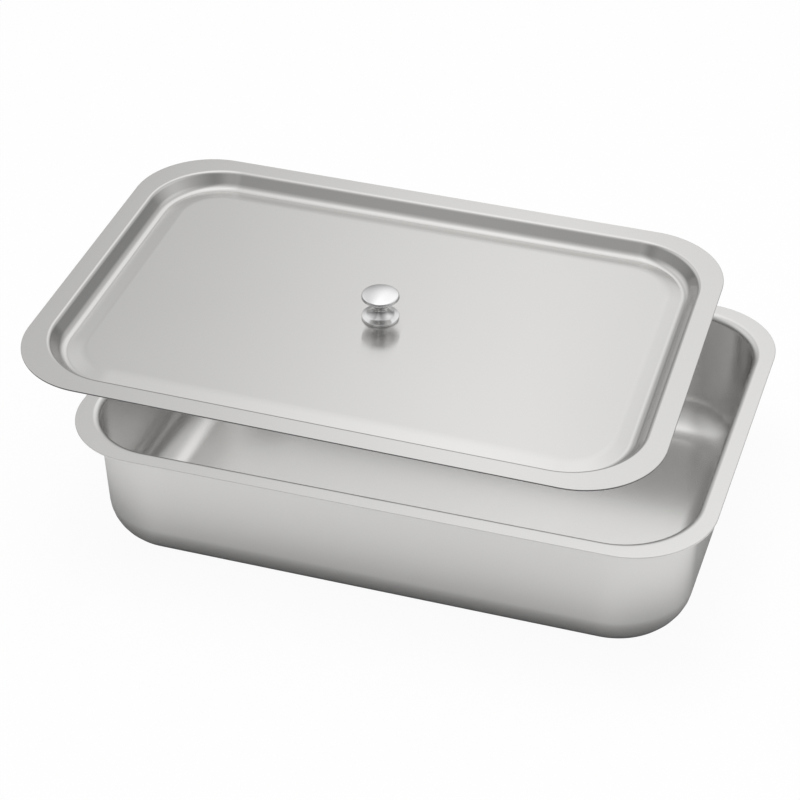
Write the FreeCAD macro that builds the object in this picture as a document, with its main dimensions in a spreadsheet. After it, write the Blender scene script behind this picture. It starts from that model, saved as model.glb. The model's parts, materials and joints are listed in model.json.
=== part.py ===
"""Instrument tray with a lift-off lid, pressed from stainless steel sheet.

Five pieces: the deep-drawn tray, the pressed lid, the turned knob in the middle
of the lid, and the washer and screw that hold the knob from below.

The origin is on the table, under the middle of the tray. X runs along the tray,
Y across it, away from the viewer, and Z is up. The lid and its knob are modelled
closed on the rim and then swung up to the place where the lid is shown held above
the tray.
"""
import FreeCAD, Part
import Sketcher
import os

doc = FreeCAD.newDocument("TrayWithLid")
Vector = FreeCAD.Vector

# Driving dimensions, in millimetres and degrees.
DIMENSIONS = (
    # the tray
    ("rim_length", 310.0, "outer edge of the rim, along the tray"),
    ("rim_width", 213.0, "outer edge of the rim, across the tray"),
    ("rim_corner", 40.0, "plan radius of the rim's outer corners"),
    ("tray_height", 67.0, "from the table to the top of the rim"),
    ("sheet", 0.9, "thickness of the steel"),
    ("rim_to_wall", 9.1, "from the rim's edge in to the outside of the wall"),
    ("wall_corner", 37.0, "plan radius of the outside of the wall, at the rim"),
    ("wall_draft", 1.1, "lean of the wall, which lets the pressed trays nest"),
    ("bottom_radius", 20.0, "outside radius between the wall and the floor"),
    ("rim_bend", 3.5, "radius on top, where the rim turns down into the wall"),
    # the lid
    ("lid_length", 307.0, "outer edge of the lid, along the tray"),
    ("lid_width", 211.0, "outer edge of the lid, across the tray"),
    ("lid_corner", 40.0, "plan radius of the lid's outer corners"),
    ("lid_flange", 9.6, "from the lid's edge in to the outside of its step"),
    ("step_corner", 38.0, "plan radius of the outside of the step"),
    ("step_lean", 34.0, "lean of the step from upright"),
    ("step_depth", 7.2, "from the top of the flange down to the channel"),
    ("lid_bend", 2.5, "radius on top, where the flange turns down into the step"),
    ("channel_bend", 5.0, "radius on top, where the step runs into the channel"),
    ("rise_inset", 18.6, "from the lid's edge in to the foot of the raised panel"),
    ("rise_corner", 29.0, "plan radius of the foot of the raised panel"),
    ("panel_inset", 26.0, "from the lid's edge in to the flat of the raised panel"),
    ("panel_corner", 21.6, "plan radius of the flat of the raised panel"),
    ("panel_rise", 1.4, "height of the raised panel above the channel"),
    ("seat_gap", 0.1, "daylight between the lid and the rim when it is closed"),
    # the knob, its washer and its screw
    ("foot_diameter", 18.2, "foot of the knob, on the lid"),
    ("foot_edge", 1.3, "upright edge of the foot"),
    ("neck_diameter", 7.4, "narrowest part of the knob"),
    ("neck_height", 6.4, "where the neck is narrowest, above the lid"),
    ("head_diameter", 18.6, "head of the knob"),
    ("head_edge_low", 11.7, "lower end of the head's edge, above the lid"),
    ("head_edge_high", 13.2, "upper end of the head's edge, above the lid"),
    ("head_chamfer", 0.4, "broken corners of the head's edge"),
    ("knob_height", 14.1, "crown of the head, above the lid"),
    ("foot_flare", 6.6, "radius of the hollow between the foot and the neck"),
    ("head_flare", 6.2, "radius of the hollow between the neck and the head"),
    ("thread_bore", 4.1, "tapped hole up into the knob"),
    ("thread_depth", 8.0, "depth of the tapped hole"),
    ("screw_shank", 4.0, "M4 screw"),
    ("screw_reach", 6.0, "how far the screw enters the knob"),
    ("screw_head", 7.6, "diameter of the screw's head"),
    ("screw_head_height", 2.4, "height of the screw's head"),
    ("screw_head_chamfer", 0.7, "broken corner of the screw's head"),
    ("slot_width", 1.2, "screwdriver slot"),
    ("slot_depth", 1.1, "screwdriver slot"),
    ("washer_diameter", 12.0, "washer under the lid"),
    ("washer_bore", 4.4, "hole through the washer and the lid"),
    ("washer_thickness", 1.0, "washer under the lid"),
    # the lift: a small turn about a distant line carries the closed lid to the
    # place where it is shown, above the tray and a little askew
    ("lift_turn", 3.3, "turn from closed to where the lid is shown"),
    ("lift_line_along", 0.63, "direction of the line, along X"),
    ("lift_line_across", 0.627, "direction of the line, along Y"),
    ("lift_line_up", 0.459, "direction of the line, along Z"),
    ("lift_point_along", 390.0, "a point on the line"),
    ("lift_point_across", -597.0, "a point on the line"),
    ("lift_point_up", 347.0, "a point on the line"),
)

table = doc.addObject("Spreadsheet::Sheet", "Dimensions")
for line, (alias, value, note) in enumerate(DIMENSIONS, start=1):
    table.set("A%d" % line, alias)
    table.set("B%d" % line, str(value))
    table.set("C%d" % line, note)
    table.setAlias("B%d" % line, alias)
doc.recompute()


def size(formula):
    """The formula with each alias pointing at the table of dimensions."""
    for alias, value, note in sorted(DIMENSIONS, key=lambda row: -len(row[0])):
        formula = formula.replace("<" + alias + ">", "Dimensions." + alias)
    return formula


def number(formula):
    """The value of a formula, for drawing a sketch near its final shape."""
    return float(doc.getObject("Dimensions").evalExpression(size(formula)))


def new_body(name, label):
    body = doc.addObject("PartDesign::Body", name)
    body.Label = label
    return body


def plane(body, role):
    for feature in body.Origin.OriginFeatures:
        if feature.Role == role:
            return feature
    raise ValueError("no plane " + role)


def new_sketch(body, name, role, height=None):
    """A sketch on one of the body's own planes, raised by a formula."""
    sketch = body.newObject("Sketcher::SketchObject", name)
    sketch.AttachmentSupport = [(plane(body, role), "")]
    sketch.MapMode = "FlatFace"
    if height is not None:
        sketch.setExpression("AttachmentOffset.Base.z", size(height))
    return sketch


def bind(sketch, constraint, name, formula):
    """Add a dimension to the sketch, named and bound to the table."""
    index = sketch.addConstraint(constraint)
    sketch.renameConstraint(index, name)
    sketch.setExpression("Constraints." + name, size(formula))


def rounded_rectangle(sketch, mark, length, width, corner):
    """Four sides and four corner arcs, centred on the sketch's origin."""
    half_x = number(length) / 2
    half_y = number(width) / 2
    radius = number(corner)
    flat_x = half_x - radius
    flat_y = half_y - radius
    front = sketch.addGeometry(
        Part.LineSegment(Vector(-flat_x, -half_y, 0), Vector(flat_x, -half_y, 0)), False)
    right = sketch.addGeometry(
        Part.LineSegment(Vector(half_x, -flat_y, 0), Vector(half_x, flat_y, 0)), False)
    back = sketch.addGeometry(
        Part.LineSegment(Vector(flat_x, half_y, 0), Vector(-flat_x, half_y, 0)), False)
    left = sketch.addGeometry(
        Part.LineSegment(Vector(-half_x, flat_y, 0), Vector(-half_x, -flat_y, 0)), False)
    arcs = []
    quarter = 1.5707963267948966
    for turn, (x, y) in enumerate(((flat_x, -flat_y), (flat_x, flat_y),
                                   (-flat_x, flat_y), (-flat_x, -flat_y))):
        circle = Part.Circle(Vector(x, y, 0), Vector(0, 0, 1), radius)
        arc = Part.ArcOfCircle(circle, (turn - 1) * quarter, turn * quarter)
        arcs.append(sketch.addGeometry(arc, False))
    sides = [front, right, back, left]
    for i in range(4):
        sketch.addConstraint(Sketcher.Constraint("Tangent", sides[i], 2, arcs[i], 1))
        sketch.addConstraint(Sketcher.Constraint("Tangent", arcs[i], 2, sides[(i + 1) % 4], 1))
    for side in (front, back):
        sketch.addConstraint(Sketcher.Constraint("Horizontal", side))
    for side in (right, left):
        sketch.addConstraint(Sketcher.Constraint("Vertical", side))
    for arc in arcs[1:]:
        sketch.addConstraint(Sketcher.Constraint("Equal", arcs[0], arc))
    sketch.addConstraint(Sketcher.Constraint("Symmetric", arcs[0], 3, arcs[2], 3, -1, 1))
    bind(sketch, Sketcher.Constraint("Radius", arcs[0], radius), mark + "_corner", corner)
    bind(sketch, Sketcher.Constraint("DistanceX", left, 1, right, 1, 2 * half_x),
         mark + "_length", length)
    bind(sketch, Sketcher.Constraint("DistanceY", front, 1, back, 1, 2 * half_y),
         mark + "_width", width)


def circle(sketch, mark, diameter):
    """A circle about the sketch's origin."""
    radius = number(diameter) / 2
    ring = sketch.addGeometry(
        Part.Circle(Vector(0, 0, 0), Vector(0, 0, 1), radius), False)
    sketch.addConstraint(Sketcher.Constraint("Coincident", ring, 3, -1, 1))
    bind(sketch, Sketcher.Constraint("Diameter", ring, 2 * radius), mark, diameter)


def pad(body, name, sketch, length, down=False, lean=None):
    """Material on one side of a sketch; a lean draws the sides inwards."""
    feature = body.newObject("PartDesign::Pad", name)
    feature.Profile = sketch
    feature.Reversed = down
    feature.setExpression("Length", size(length))
    if lean is not None:
        feature.setExpression("TaperAngle", "-" + size(lean))
    doc.recompute()
    return feature


def pocket(body, name, sketch, length, symmetric=False, lean=None):
    """Material cut on one side of a sketch, compared with the solid before."""
    before = body.Tip.Shape.Volume
    feature = body.newObject("PartDesign::Pocket", name)
    feature.Profile = sketch
    feature.Midplane = symmetric
    feature.setExpression("Length", size(length))
    if lean is not None:
        feature.setExpression("TaperAngle", "-" + size(lean))
    doc.recompute()
    if not feature.Shape.Volume < before - 0.01:
        raise RuntimeError(name + " cuts nothing")
    return feature


def edges_where(feature, wanted):
    """Names of the feature's edges whose box passes the test."""
    return ["Edge%d" % (i + 1) for i, edge in enumerate(feature.Shape.Edges)
            if wanted(edge.BoundBox)]


def fillet(body, name, base, edges, radius):
    feature = body.newObject("PartDesign::Fillet", name)
    feature.Base = (base, edges)
    feature.setExpression("Radius", size(radius))
    doc.recompute()
    return feature


def chamfer(body, name, base, edges, width):
    feature = body.newObject("PartDesign::Chamfer", name)
    feature.Base = (base, edges)
    feature.setExpression("Size", size(width))
    doc.recompute()
    return feature


def level(z):
    """A test for edges that lie flat at one height."""
    return lambda box: abs(box.ZMin - z) < 1e-4 and abs(box.ZMax - z) < 1e-4


def level_within(z, length, width):
    """The same, for edges that also lie within a rectangle about the middle."""
    half_x = number(length) / 2
    half_y = number(width) / 2
    return lambda box: (level(z)(box) and max(-box.XMin, box.XMax) < half_x
                        and max(-box.YMin, box.YMax) < half_y)


# The tray: a drafted block with a round bottom edge and a flat rim, hollowed to one
# sheet, with a soft bend between the rim and the wall.
def make_tray():
    body = new_body("Tray", "tray")
    outline = new_sketch(body, "WallOutline", "XY_Plane", "<tray_height>")
    rounded_rectangle(outline, "wall", "<rim_length> - 2 * <rim_to_wall>",
                      "<rim_width> - 2 * <rim_to_wall>", "<wall_corner>")
    pad(body, "DrawnForm", outline, "<tray_height>", down=True, lean="<wall_draft>")

    rim = new_sketch(body, "RimOutline", "XY_Plane", "<tray_height>")
    rounded_rectangle(rim, "rim", "<rim_length>", "<rim_width>", "<rim_corner>")
    plate = pad(body, "Rim", rim, "<sheet>", down=True)
    # where the rim meets the wall: above and below, inside this rectangle
    mouth = ("<rim_length> - 2 * <rim_to_wall> + 1", "<rim_width> - 2 * <rim_to_wall> + 1")
    under = number("<tray_height> - <sheet>")
    fillet(body, "RimBendUnder", plate, edges_where(plate, level_within(under, *mouth)),
           "<rim_bend> - <sheet>")

    # the inside, one sheet in from the outside
    inside = new_sketch(body, "InsideOutline", "XY_Plane", "<tray_height>")
    wall_inset = "(<rim_to_wall> + <sheet> / cos(<wall_draft> * 1 deg))"
    rounded_rectangle(inside, "inside", "<rim_length> - 2 * " + wall_inset,
                      "<rim_width> - 2 * " + wall_inset,
                      "<wall_corner> - <sheet> / cos(<wall_draft> * 1 deg)")
    hollow = pocket(body, "Hollow", inside, "<tray_height> - <sheet>", lean="<wall_draft>")
    soft = fillet(body, "FloorRadius", hollow,
                  edges_where(hollow, level(number("<sheet>"))),
                  "<bottom_radius> - <sheet>")
    soft = fillet(body, "BottomRadius", soft, edges_where(soft, level(0)), "<bottom_radius>")
    top = number("<tray_height>")
    fillet(body, "RimBend", soft, edges_where(soft, level_within(top, *mouth)), "<rim_bend>")
    return body


# The lid: a flat flange, a leaning step down into a channel, and a panel that
# stands a little proud of the channel, all in one sheet.
FLANGE_TOP = "<tray_height> + <seat_gap> + <sheet>"
CHANNEL_TOP = FLANGE_TOP + " - <step_depth>"
PANEL_TOP = CHANNEL_TOP + " + <panel_rise>"


def panel_loft(body, kind, name, foot_height):
    """The raised panel's solid, from its foot up to its flat."""
    foot = new_sketch(body, name + "Foot", "XY_Plane", foot_height)
    rounded_rectangle(foot, "foot", "<lid_length> - 2 * <rise_inset>",
                      "<lid_width> - 2 * <rise_inset>", "<rise_corner>")
    flat = new_sketch(body, name + "Flat", "XY_Plane", foot_height + " + <panel_rise>")
    rounded_rectangle(flat, "flat", "<lid_length> - 2 * <panel_inset>",
                      "<lid_width> - 2 * <panel_inset>", "<panel_corner>")
    feature = body.newObject(kind, name)
    feature.Profile = foot
    feature.Sections = [flat]
    feature.Ruled = True
    doc.recompute()
    return feature


def make_lid():
    body = new_body("Lid", "lid")
    outline = new_sketch(body, "StepOutline", "XY_Plane", FLANGE_TOP)
    rounded_rectangle(outline, "step", "<lid_length> - 2 * <lid_flange>",
                      "<lid_width> - 2 * <lid_flange>", "<step_corner>")
    block = pad(body, "StepForm", outline, "<step_depth> + <sheet>", down=True,
                lean="<step_lean>")
    floor = number(CHANNEL_TOP + " - <sheet>")
    fillet(body, "ChannelRadius", block, edges_where(block, level(floor)),
           "<channel_bend> + <sheet>")

    flange = new_sketch(body, "FlangeOutline", "XY_Plane", FLANGE_TOP)
    rounded_rectangle(flange, "edge", "<lid_length>", "<lid_width>", "<lid_corner>")
    plate = pad(body, "Flange", flange, "<sheet>", down=True)
    under = number(FLANGE_TOP + " - <sheet>")
    mouth = ("<lid_length> - 2 * <lid_flange> + 1", "<lid_width> - 2 * <lid_flange> + 1")
    fillet(body, "FlangeBendUnder", plate,
           edges_where(plate, level_within(under, *mouth)), "<lid_bend> - <sheet>")

    # the inside of the step, one sheet in from its outside
    inside = new_sketch(body, "StepInside", "XY_Plane", FLANGE_TOP)
    step_inset = "(<lid_flange> + <sheet> / cos(<step_lean> * 1 deg))"
    rounded_rectangle(inside, "inside", "<lid_length> - 2 * " + step_inset,
                      "<lid_width> - 2 * " + step_inset,
                      "<step_corner> - <sheet> / cos(<step_lean> * 1 deg)")
    hollow = pocket(body, "StepHollow", inside, "<step_depth>", lean="<step_lean>")
    channel = number(CHANNEL_TOP)
    soft = fillet(body, "ChannelBend", hollow, edges_where(hollow, level(channel)),
                  "<channel_bend>")
    top = number(FLANGE_TOP)
    fillet(body, "FlangeBend", soft,
           edges_where(soft, level_within(top, *mouth)), "<lid_bend>")

    panel_loft(body, "PartDesign::AdditiveLoft", "RaisedPanel", CHANNEL_TOP)
    panel_loft(body, "PartDesign::SubtractiveLoft", "PanelHollow", CHANNEL_TOP + " - <sheet>")
    hole = new_sketch(body, "ScrewHoleOutline", "XY_Plane", PANEL_TOP)
    circle(hole, "bore", "<washer_bore>")
    pocket(body, "ScrewHole", hole, "2 * <sheet>")
    return body


# The knob, turned: a flat foot, a waist and a domed head, with a tapped hole.
def outline_of_points(sketch, points, arcs):
    """A closed outline in the sketch: named points, and arcs by their radius.

    points is a list of (mark, formula for x, formula for y). arcs gives, for the
    mark of the point where it begins, (radius formula, +1 or -1 for the side on
    which the arc's centre lies, seen from its start to its end).
    """
    where = [Vector(number(x), number(y), 0) for mark, x, y in points]
    pieces = []
    for i, (mark, x, y) in enumerate(points):
        start = where[i]
        end = where[(i + 1) % len(points)]
        if mark not in arcs:
            pieces.append((sketch.addGeometry(Part.LineSegment(start, end), False), 1, 2))
            continue
        radius, side = arcs[mark]
        chord = end - start
        across = Vector(-chord.y, chord.x, 0).normalize() * side
        reach = (number(radius) ** 2 - (chord.Length / 2) ** 2) ** 0.5
        centre = start + chord * 0.5 + across * reach
        middle = centre - across * number(radius)
        arc = sketch.addGeometry(Part.Arc(start, middle, end), False)
        # an arc in a sketch always runs anticlockwise
        first = sketch.getPoint(arc, 1)
        forward = (first - start).Length < 1e-6
        pieces.append((arc, 1, 2) if forward else (arc, 2, 1))
        bind(sketch, Sketcher.Constraint("Radius", arc, number(radius)),
             mark + "_radius", radius)
    for i, (piece, first, last) in enumerate(pieces):
        following, start, end = pieces[(i + 1) % len(pieces)]
        sketch.addConstraint(Sketcher.Constraint("Coincident", piece, last, following, start))
    for i, (mark, x, y) in enumerate(points):
        piece, first, last = pieces[i]
        for kind, axis, formula, value in (("DistanceX", "x", x, where[i].x),
                                           ("DistanceY", "y", y, where[i].y)):
            if abs(value) < 1e-9:
                line = -2 if axis == "x" else -1
                sketch.addConstraint(Sketcher.Constraint("PointOnObject", piece, first, line))
            else:
                bind(sketch, Sketcher.Constraint(kind, -1, 1, piece, first, value),
                     mark + "_" + axis, formula)


def revolve(body, name, sketch):
    feature = body.newObject("PartDesign::Revolution", name)
    feature.Profile = sketch
    feature.ReferenceAxis = (sketch, ["V_Axis"])
    feature.Angle = 360.0
    doc.recompute()
    return feature


def make_knob():
    body = new_body("Knob", "knob")
    profile = new_sketch(body, "KnobProfile", "XZ_Plane")
    base = PANEL_TOP
    # the crown is a ball's cap, level at the knob's axis
    crown_reach = "(<head_diameter> / 2 - <head_chamfer>)"
    crown_rise = "(<knob_height> - <head_edge_high>)"
    crown_radius = ("(" + crown_reach + " * " + crown_reach + " / " + crown_rise
                    + " + " + crown_rise + ") / 2")
    outline_of_points(profile, (
        ("bore", "<thread_bore> / 2", base),
        ("foot", "<foot_diameter> / 2", base),
        ("foot_top", "<foot_diameter> / 2", base + " + <foot_edge>"),
        ("neck", "<neck_diameter> / 2", base + " + <neck_height>"),
        ("head_under", "<head_diameter> / 2 - <head_chamfer>", base + " + <head_edge_low>"),
        ("head_low", "<head_diameter> / 2", base + " + <head_edge_low> + <head_chamfer>"),
        ("head_high", "<head_diameter> / 2", base + " + <head_edge_high> - <head_chamfer>"),
        ("head_over", "<head_diameter> / 2 - <head_chamfer>", base + " + <head_edge_high>"),
        ("crown", "0", base + " + <knob_height>"),
        ("bore_end", "0", base + " + <thread_depth>"),
        ("bore_top", "<thread_bore> / 2", base + " + <thread_depth>"),
    ), {
        "foot_top": ("<foot_flare>", -1),
        "neck": ("<head_flare>", -1),
        "head_over": (crown_radius, 1),
    })
    revolve(body, "KnobTurning", profile)
    return body


def make_washer():
    body = new_body("Washer", "knob_washer")
    face = new_sketch(body, "WasherFace", "XY_Plane", PANEL_TOP + " - <sheet>")
    circle(face, "outer", "<washer_diameter>")
    circle(face, "inner", "<washer_bore>")
    pad(body, "WasherPad", face, "<washer_thickness>", down=True)
    return body


def make_screw():
    body = new_body("Screw", "knob_screw")
    seat = PANEL_TOP + " - <sheet> - <washer_thickness>"
    head = new_sketch(body, "HeadOutline", "XY_Plane", seat)
    circle(head, "head", "<screw_head>")
    head_pad = pad(body, "Head", head, "<screw_head_height>", down=True)
    low = number(seat + " - <screw_head_height>")
    chamfer(body, "HeadCorner", head_pad, edges_where(head_pad, level(low)),
            "<screw_head_chamfer>")
    shank = new_sketch(body, "ShankOutline", "XY_Plane", seat)
    circle(shank, "shank", "<screw_shank>")
    pad(body, "Shank", shank, "<washer_thickness> + <sheet> + <screw_reach>")
    slot = new_sketch(body, "SlotOutline", "XZ_Plane")
    outline_of_points(slot, (
        ("slot_a", "-<slot_width> / 2", seat + " - <screw_head_height> - 1"),
        ("slot_b", "<slot_width> / 2", seat + " - <screw_head_height> - 1"),
        ("slot_c", "<slot_width> / 2", seat + " - <screw_head_height> + <slot_depth>"),
        ("slot_d", "-<slot_width> / 2", seat + " - <screw_head_height> + <slot_depth>"),
    ), {})
    pocket(body, "Slot", slot, "1.2 * <screw_head>", symmetric=True)
    return body


tray = make_tray()
lid = make_lid()
knob = make_knob()
washer = make_washer()
screw = make_screw()

# Swing the lid and everything on it up to where the lid is shown.
lift_line = Vector(table.lift_line_along, table.lift_line_across, table.lift_line_up)
lift_point = Vector(table.lift_point_along, table.lift_point_across, table.lift_point_up)
lifted = FreeCAD.Placement(Vector(0, 0, 0),
                           FreeCAD.Rotation(lift_line, table.lift_turn), lift_point)
for body in (lid, knob, washer, screw):
    body.Placement = lifted

doc.recompute()
for feature in doc.Objects:
    if "Invalid" in feature.State or "Error" in feature.State:
        raise RuntimeError(feature.Name + " failed: " + ", ".join(feature.State))

os.makedirs("parts", exist_ok=True)
for body in (tray, lid, knob, washer, screw):
    shape = body.Shape
    if shape.isNull() or not shape.isValid() or len(shape.Solids) != 1:
        raise RuntimeError(body.Label + " is not one valid solid")
    box = shape.BoundBox
    print("%-12s volume %9.1f mm3   x %7.2f %7.2f   y %7.2f %7.2f   z %6.2f %6.2f" % (
        body.Label, shape.Volume, box.XMin, box.XMax, box.YMin, box.YMax,
        box.ZMin, box.ZMax))
    shape.exportStep(os.path.join("parts", body.Label + ".step"))
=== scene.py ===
# %% [markdown]
# # A steel instrument tray with its lid lifted off
# The real thing is a deep steel tray, a shallow lid, and a turned knob that a screw
# and a washer hold from below. This lesson draws those five pieces over the packed
# part, which gives their places and sizes. A pressed sheet and a turning have one
# thing in common: each follows one section all the way round. So one Geometry Nodes
# tree, fed with a section, draws all five.

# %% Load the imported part
import bmesh
import bpy
import json
import math
from mathutils import Matrix, Vector


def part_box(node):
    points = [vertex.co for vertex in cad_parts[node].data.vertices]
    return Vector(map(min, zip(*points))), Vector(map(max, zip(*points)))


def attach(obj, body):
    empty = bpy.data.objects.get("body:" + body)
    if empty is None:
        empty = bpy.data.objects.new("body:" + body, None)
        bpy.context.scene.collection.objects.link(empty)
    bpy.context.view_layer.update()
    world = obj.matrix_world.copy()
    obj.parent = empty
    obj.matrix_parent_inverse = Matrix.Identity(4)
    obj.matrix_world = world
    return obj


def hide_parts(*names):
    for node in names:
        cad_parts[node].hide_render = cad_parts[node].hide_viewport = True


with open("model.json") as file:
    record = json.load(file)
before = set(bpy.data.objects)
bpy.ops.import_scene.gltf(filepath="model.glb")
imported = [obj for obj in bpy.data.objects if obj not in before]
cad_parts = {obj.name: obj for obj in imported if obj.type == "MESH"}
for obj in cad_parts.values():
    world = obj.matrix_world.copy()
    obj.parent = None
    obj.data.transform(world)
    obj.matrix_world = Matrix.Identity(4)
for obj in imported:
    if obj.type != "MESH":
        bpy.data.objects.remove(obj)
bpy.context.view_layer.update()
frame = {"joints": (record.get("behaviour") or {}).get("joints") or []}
MM = 0.001

# %% [markdown]
# ## The ring tree
# A tray could be a box with bevels and a Solidify modifier, and a knob could come from
# Spin. But a bevel loses its radius on a corner that also leans, and Solidify gives
# every edge the same shape. Here a section is a mesh with no faces: each vertex gives
# how far in from the piece's outer edge a ring lies (x), and how high (z). The tree
# lays a grid, bends each of its rows into a rounded rectangle of that inset, and joins
# the ends. A turning is the same with a corner radius of half its diameter.

# %% The tree and its named inputs
ring_tree = bpy.data.node_groups.new("rings_of_a_section", "GeometryNodeTree")
ring_face = ring_tree.interface
ring_face.new_socket("Section", in_out="INPUT", socket_type="NodeSocketGeometry")
for word in ("Length", "Width", "Edge Corner", "Wall Corner", "Wall Inset"):
    ring_face.new_socket(word, in_out="INPUT", socket_type="NodeSocketFloat")
ring_face.new_socket("Corner Steps", in_out="INPUT", socket_type="NodeSocketInt")
ring_face.new_socket("Finish", in_out="INPUT", socket_type="NodeSocketMaterial")
ring_face.new_socket("Sheet", in_out="OUTPUT", socket_type="NodeSocketGeometry")
given = ring_tree.nodes.new("NodeGroupInput").outputs
print("inputs:", [s.name for s in given if s.name])


# %% Two helpers for nodes, and the count of rows and columns
def wire(tree, socket, value):
    """Joins a socket to a node's output, or sets its number."""
    if hasattr(value, "is_linked"):
        tree.links.new(value, socket)
    else:
        socket.default_value = value


def sum_node(tree, operation, *values):
    """One Math node, as its output."""
    node = tree.nodes.new("ShaderNodeMath")
    node.operation = operation
    for socket, value in zip(node.inputs, values):
        wire(tree, socket, value)
    return node.outputs[0]


stations = ring_tree.nodes.new("GeometryNodeAttributeDomainSize")
ring_tree.links.new(given["Section"], stations.inputs[0])
station_count = stations.outputs["Point Count"]
corner_points = sum_node(ring_tree, "ADD", given["Corner Steps"], 1)
around = sum_node(ring_tree, "MULTIPLY", corner_points, 4)
last_station = sum_node(ring_tree, "SUBTRACT", station_count, 1)
print("counting takes", len(ring_tree.nodes), "nodes")

# %% A grid with a row for each point of the section
grid = ring_tree.nodes.new("GeometryNodeMeshGrid")
for socket, value in zip(grid.inputs, (last_station, around, station_count,
                                       sum_node(ring_tree, "ADD", around, 1))):
    wire(ring_tree, socket, value)

# Each square is one metre, so a point's place, rounded, is its row and its step.
place = ring_tree.nodes.new("GeometryNodeInputPosition")
across = ring_tree.nodes.new("ShaderNodeSeparateXYZ")
ring_tree.links.new(place.outputs[0], across.inputs[0])
half_rows = sum_node(ring_tree, "DIVIDE", last_station, 2)
half_turn = sum_node(ring_tree, "DIVIDE", around, 2)
row = sum_node(ring_tree, "ROUND", sum_node(ring_tree, "ADD", across.outputs[0], half_rows))
step = sum_node(ring_tree, "ROUND", sum_node(ring_tree, "ADD", across.outputs[1], half_turn))
print("with the grid:", len(ring_tree.nodes), "nodes")

# %% Each row's inset and height, read from the section
reading = ring_tree.nodes.new("GeometryNodeSampleIndex")
reading.data_type = "FLOAT_VECTOR"
reading.domain = "POINT"
ring_tree.links.new(given["Section"], reading.inputs[0])
ring_tree.links.new(place.outputs[0], reading.inputs["Value"])
wire(ring_tree, reading.inputs["Index"], row)
station = ring_tree.nodes.new("ShaderNodeSeparateXYZ")
ring_tree.links.new(reading.outputs[0], station.inputs[0])
inset, height = station.outputs[0], station.outputs[2]
print("with the reading:", len(ring_tree.nodes), "nodes")

# %% The corner radius at that inset
# It goes from the edge's to the wall's, and further in it stays concentric.
share = sum_node(ring_tree, "MINIMUM", 1.0,
                 sum_node(ring_tree, "DIVIDE", inset, given["Wall Inset"]))
change = sum_node(ring_tree, "SUBTRACT", given["Wall Corner"], given["Edge Corner"])
blended = sum_node(ring_tree, "MULTIPLY_ADD", share, change, given["Edge Corner"])
beyond = sum_node(ring_tree, "MAXIMUM", 0.0,
                  sum_node(ring_tree, "SUBTRACT", inset, given["Wall Inset"]))
corner = sum_node(ring_tree, "MAXIMUM", 0.0,
                  sum_node(ring_tree, "SUBTRACT", blended, beyond))
print("with the corner radius:", len(ring_tree.nodes), "nodes")

# %% Where each point of the row goes
# A row is four corner arcs, one after another. The straight sides are what joins them.
QUARTER_TURN = math.pi / 2
turn = sum_node(ring_tree, "FLOOR", sum_node(ring_tree, "DIVIDE", step, corner_points))
along = sum_node(ring_tree, "SUBTRACT", step,
                 sum_node(ring_tree, "MULTIPLY", turn, corner_points))
quarters = sum_node(ring_tree, "ADD", turn,
                    sum_node(ring_tree, "DIVIDE", along, given["Corner Steps"]))
angle = sum_node(ring_tree, "MULTIPLY", quarters, QUARTER_TURN)
middle = sum_node(ring_tree, "MULTIPLY", sum_node(ring_tree, "ADD", turn, 0.5), QUARTER_TURN)
joined = ring_tree.nodes.new("ShaderNodeCombineXYZ")
for axis, side, wave in ((0, "Length", "COSINE"), (1, "Width", "SINE")):
    half_side = sum_node(ring_tree, "DIVIDE", given[side], 2)
    flat = sum_node(ring_tree, "SUBTRACT", sum_node(ring_tree, "SUBTRACT", half_side, inset), corner)
    sign = sum_node(ring_tree, "SIGN", sum_node(ring_tree, wave, middle))
    centre = sum_node(ring_tree, "MULTIPLY", sign, sum_node(ring_tree, "MAXIMUM", flat, 0.0))
    reach = sum_node(ring_tree, "MULTIPLY_ADD", corner, sum_node(ring_tree, wave, angle), centre)
    wire(ring_tree, joined.inputs[axis], reach)
wire(ring_tree, joined.inputs[2], height)
print("with the places:", len(ring_tree.nodes), "nodes")

# %% Set, joined and finished
JOIN_WITHIN = 0.01 * MM
laid = ring_tree.nodes.new("GeometryNodeSetPosition")
ring_tree.links.new(grid.outputs[0], laid.inputs["Geometry"])
ring_tree.links.new(joined.outputs[0], laid.inputs["Position"])
closed = ring_tree.nodes.new("GeometryNodeMergeByDistance")
ring_tree.links.new(laid.outputs[0], closed.inputs["Geometry"])
closed.inputs["Distance"].default_value = JOIN_WITHIN
smooth = ring_tree.nodes.new("GeometryNodeSetShadeSmooth")
ring_tree.links.new(closed.outputs[0], smooth.inputs[0])
real = ring_tree.nodes.new("GeometryNodeRealizeInstances")
ring_tree.links.new(smooth.outputs[0], real.inputs[0])
finish_node = ring_tree.nodes.new("GeometryNodeSetMaterial")
ring_tree.links.new(real.outputs[0], finish_node.inputs["Geometry"])
ring_tree.links.new(given["Finish"], finish_node.inputs["Material"])
ring_out = ring_tree.nodes.new("NodeGroupOutput")
ring_tree.links.new(finish_node.outputs[0], ring_out.inputs[0])
print("ring tree:", len(ring_tree.nodes), "nodes")

# %% [markdown]
# ## Bends
# Sheet steel has no sharp corner: each fold has a radius, and the outside of a fold
# has one thickness more of it than the inside. A Bevel modifier could round the folds
# after the fact, but it knows nothing of the sheet's other side. So a section is
# written as its corners, each with the radius of its bend, and two helpers put in the
# points between.

# %% Points of bends and of arcs
BEND_STEP = math.radians(9)


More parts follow.
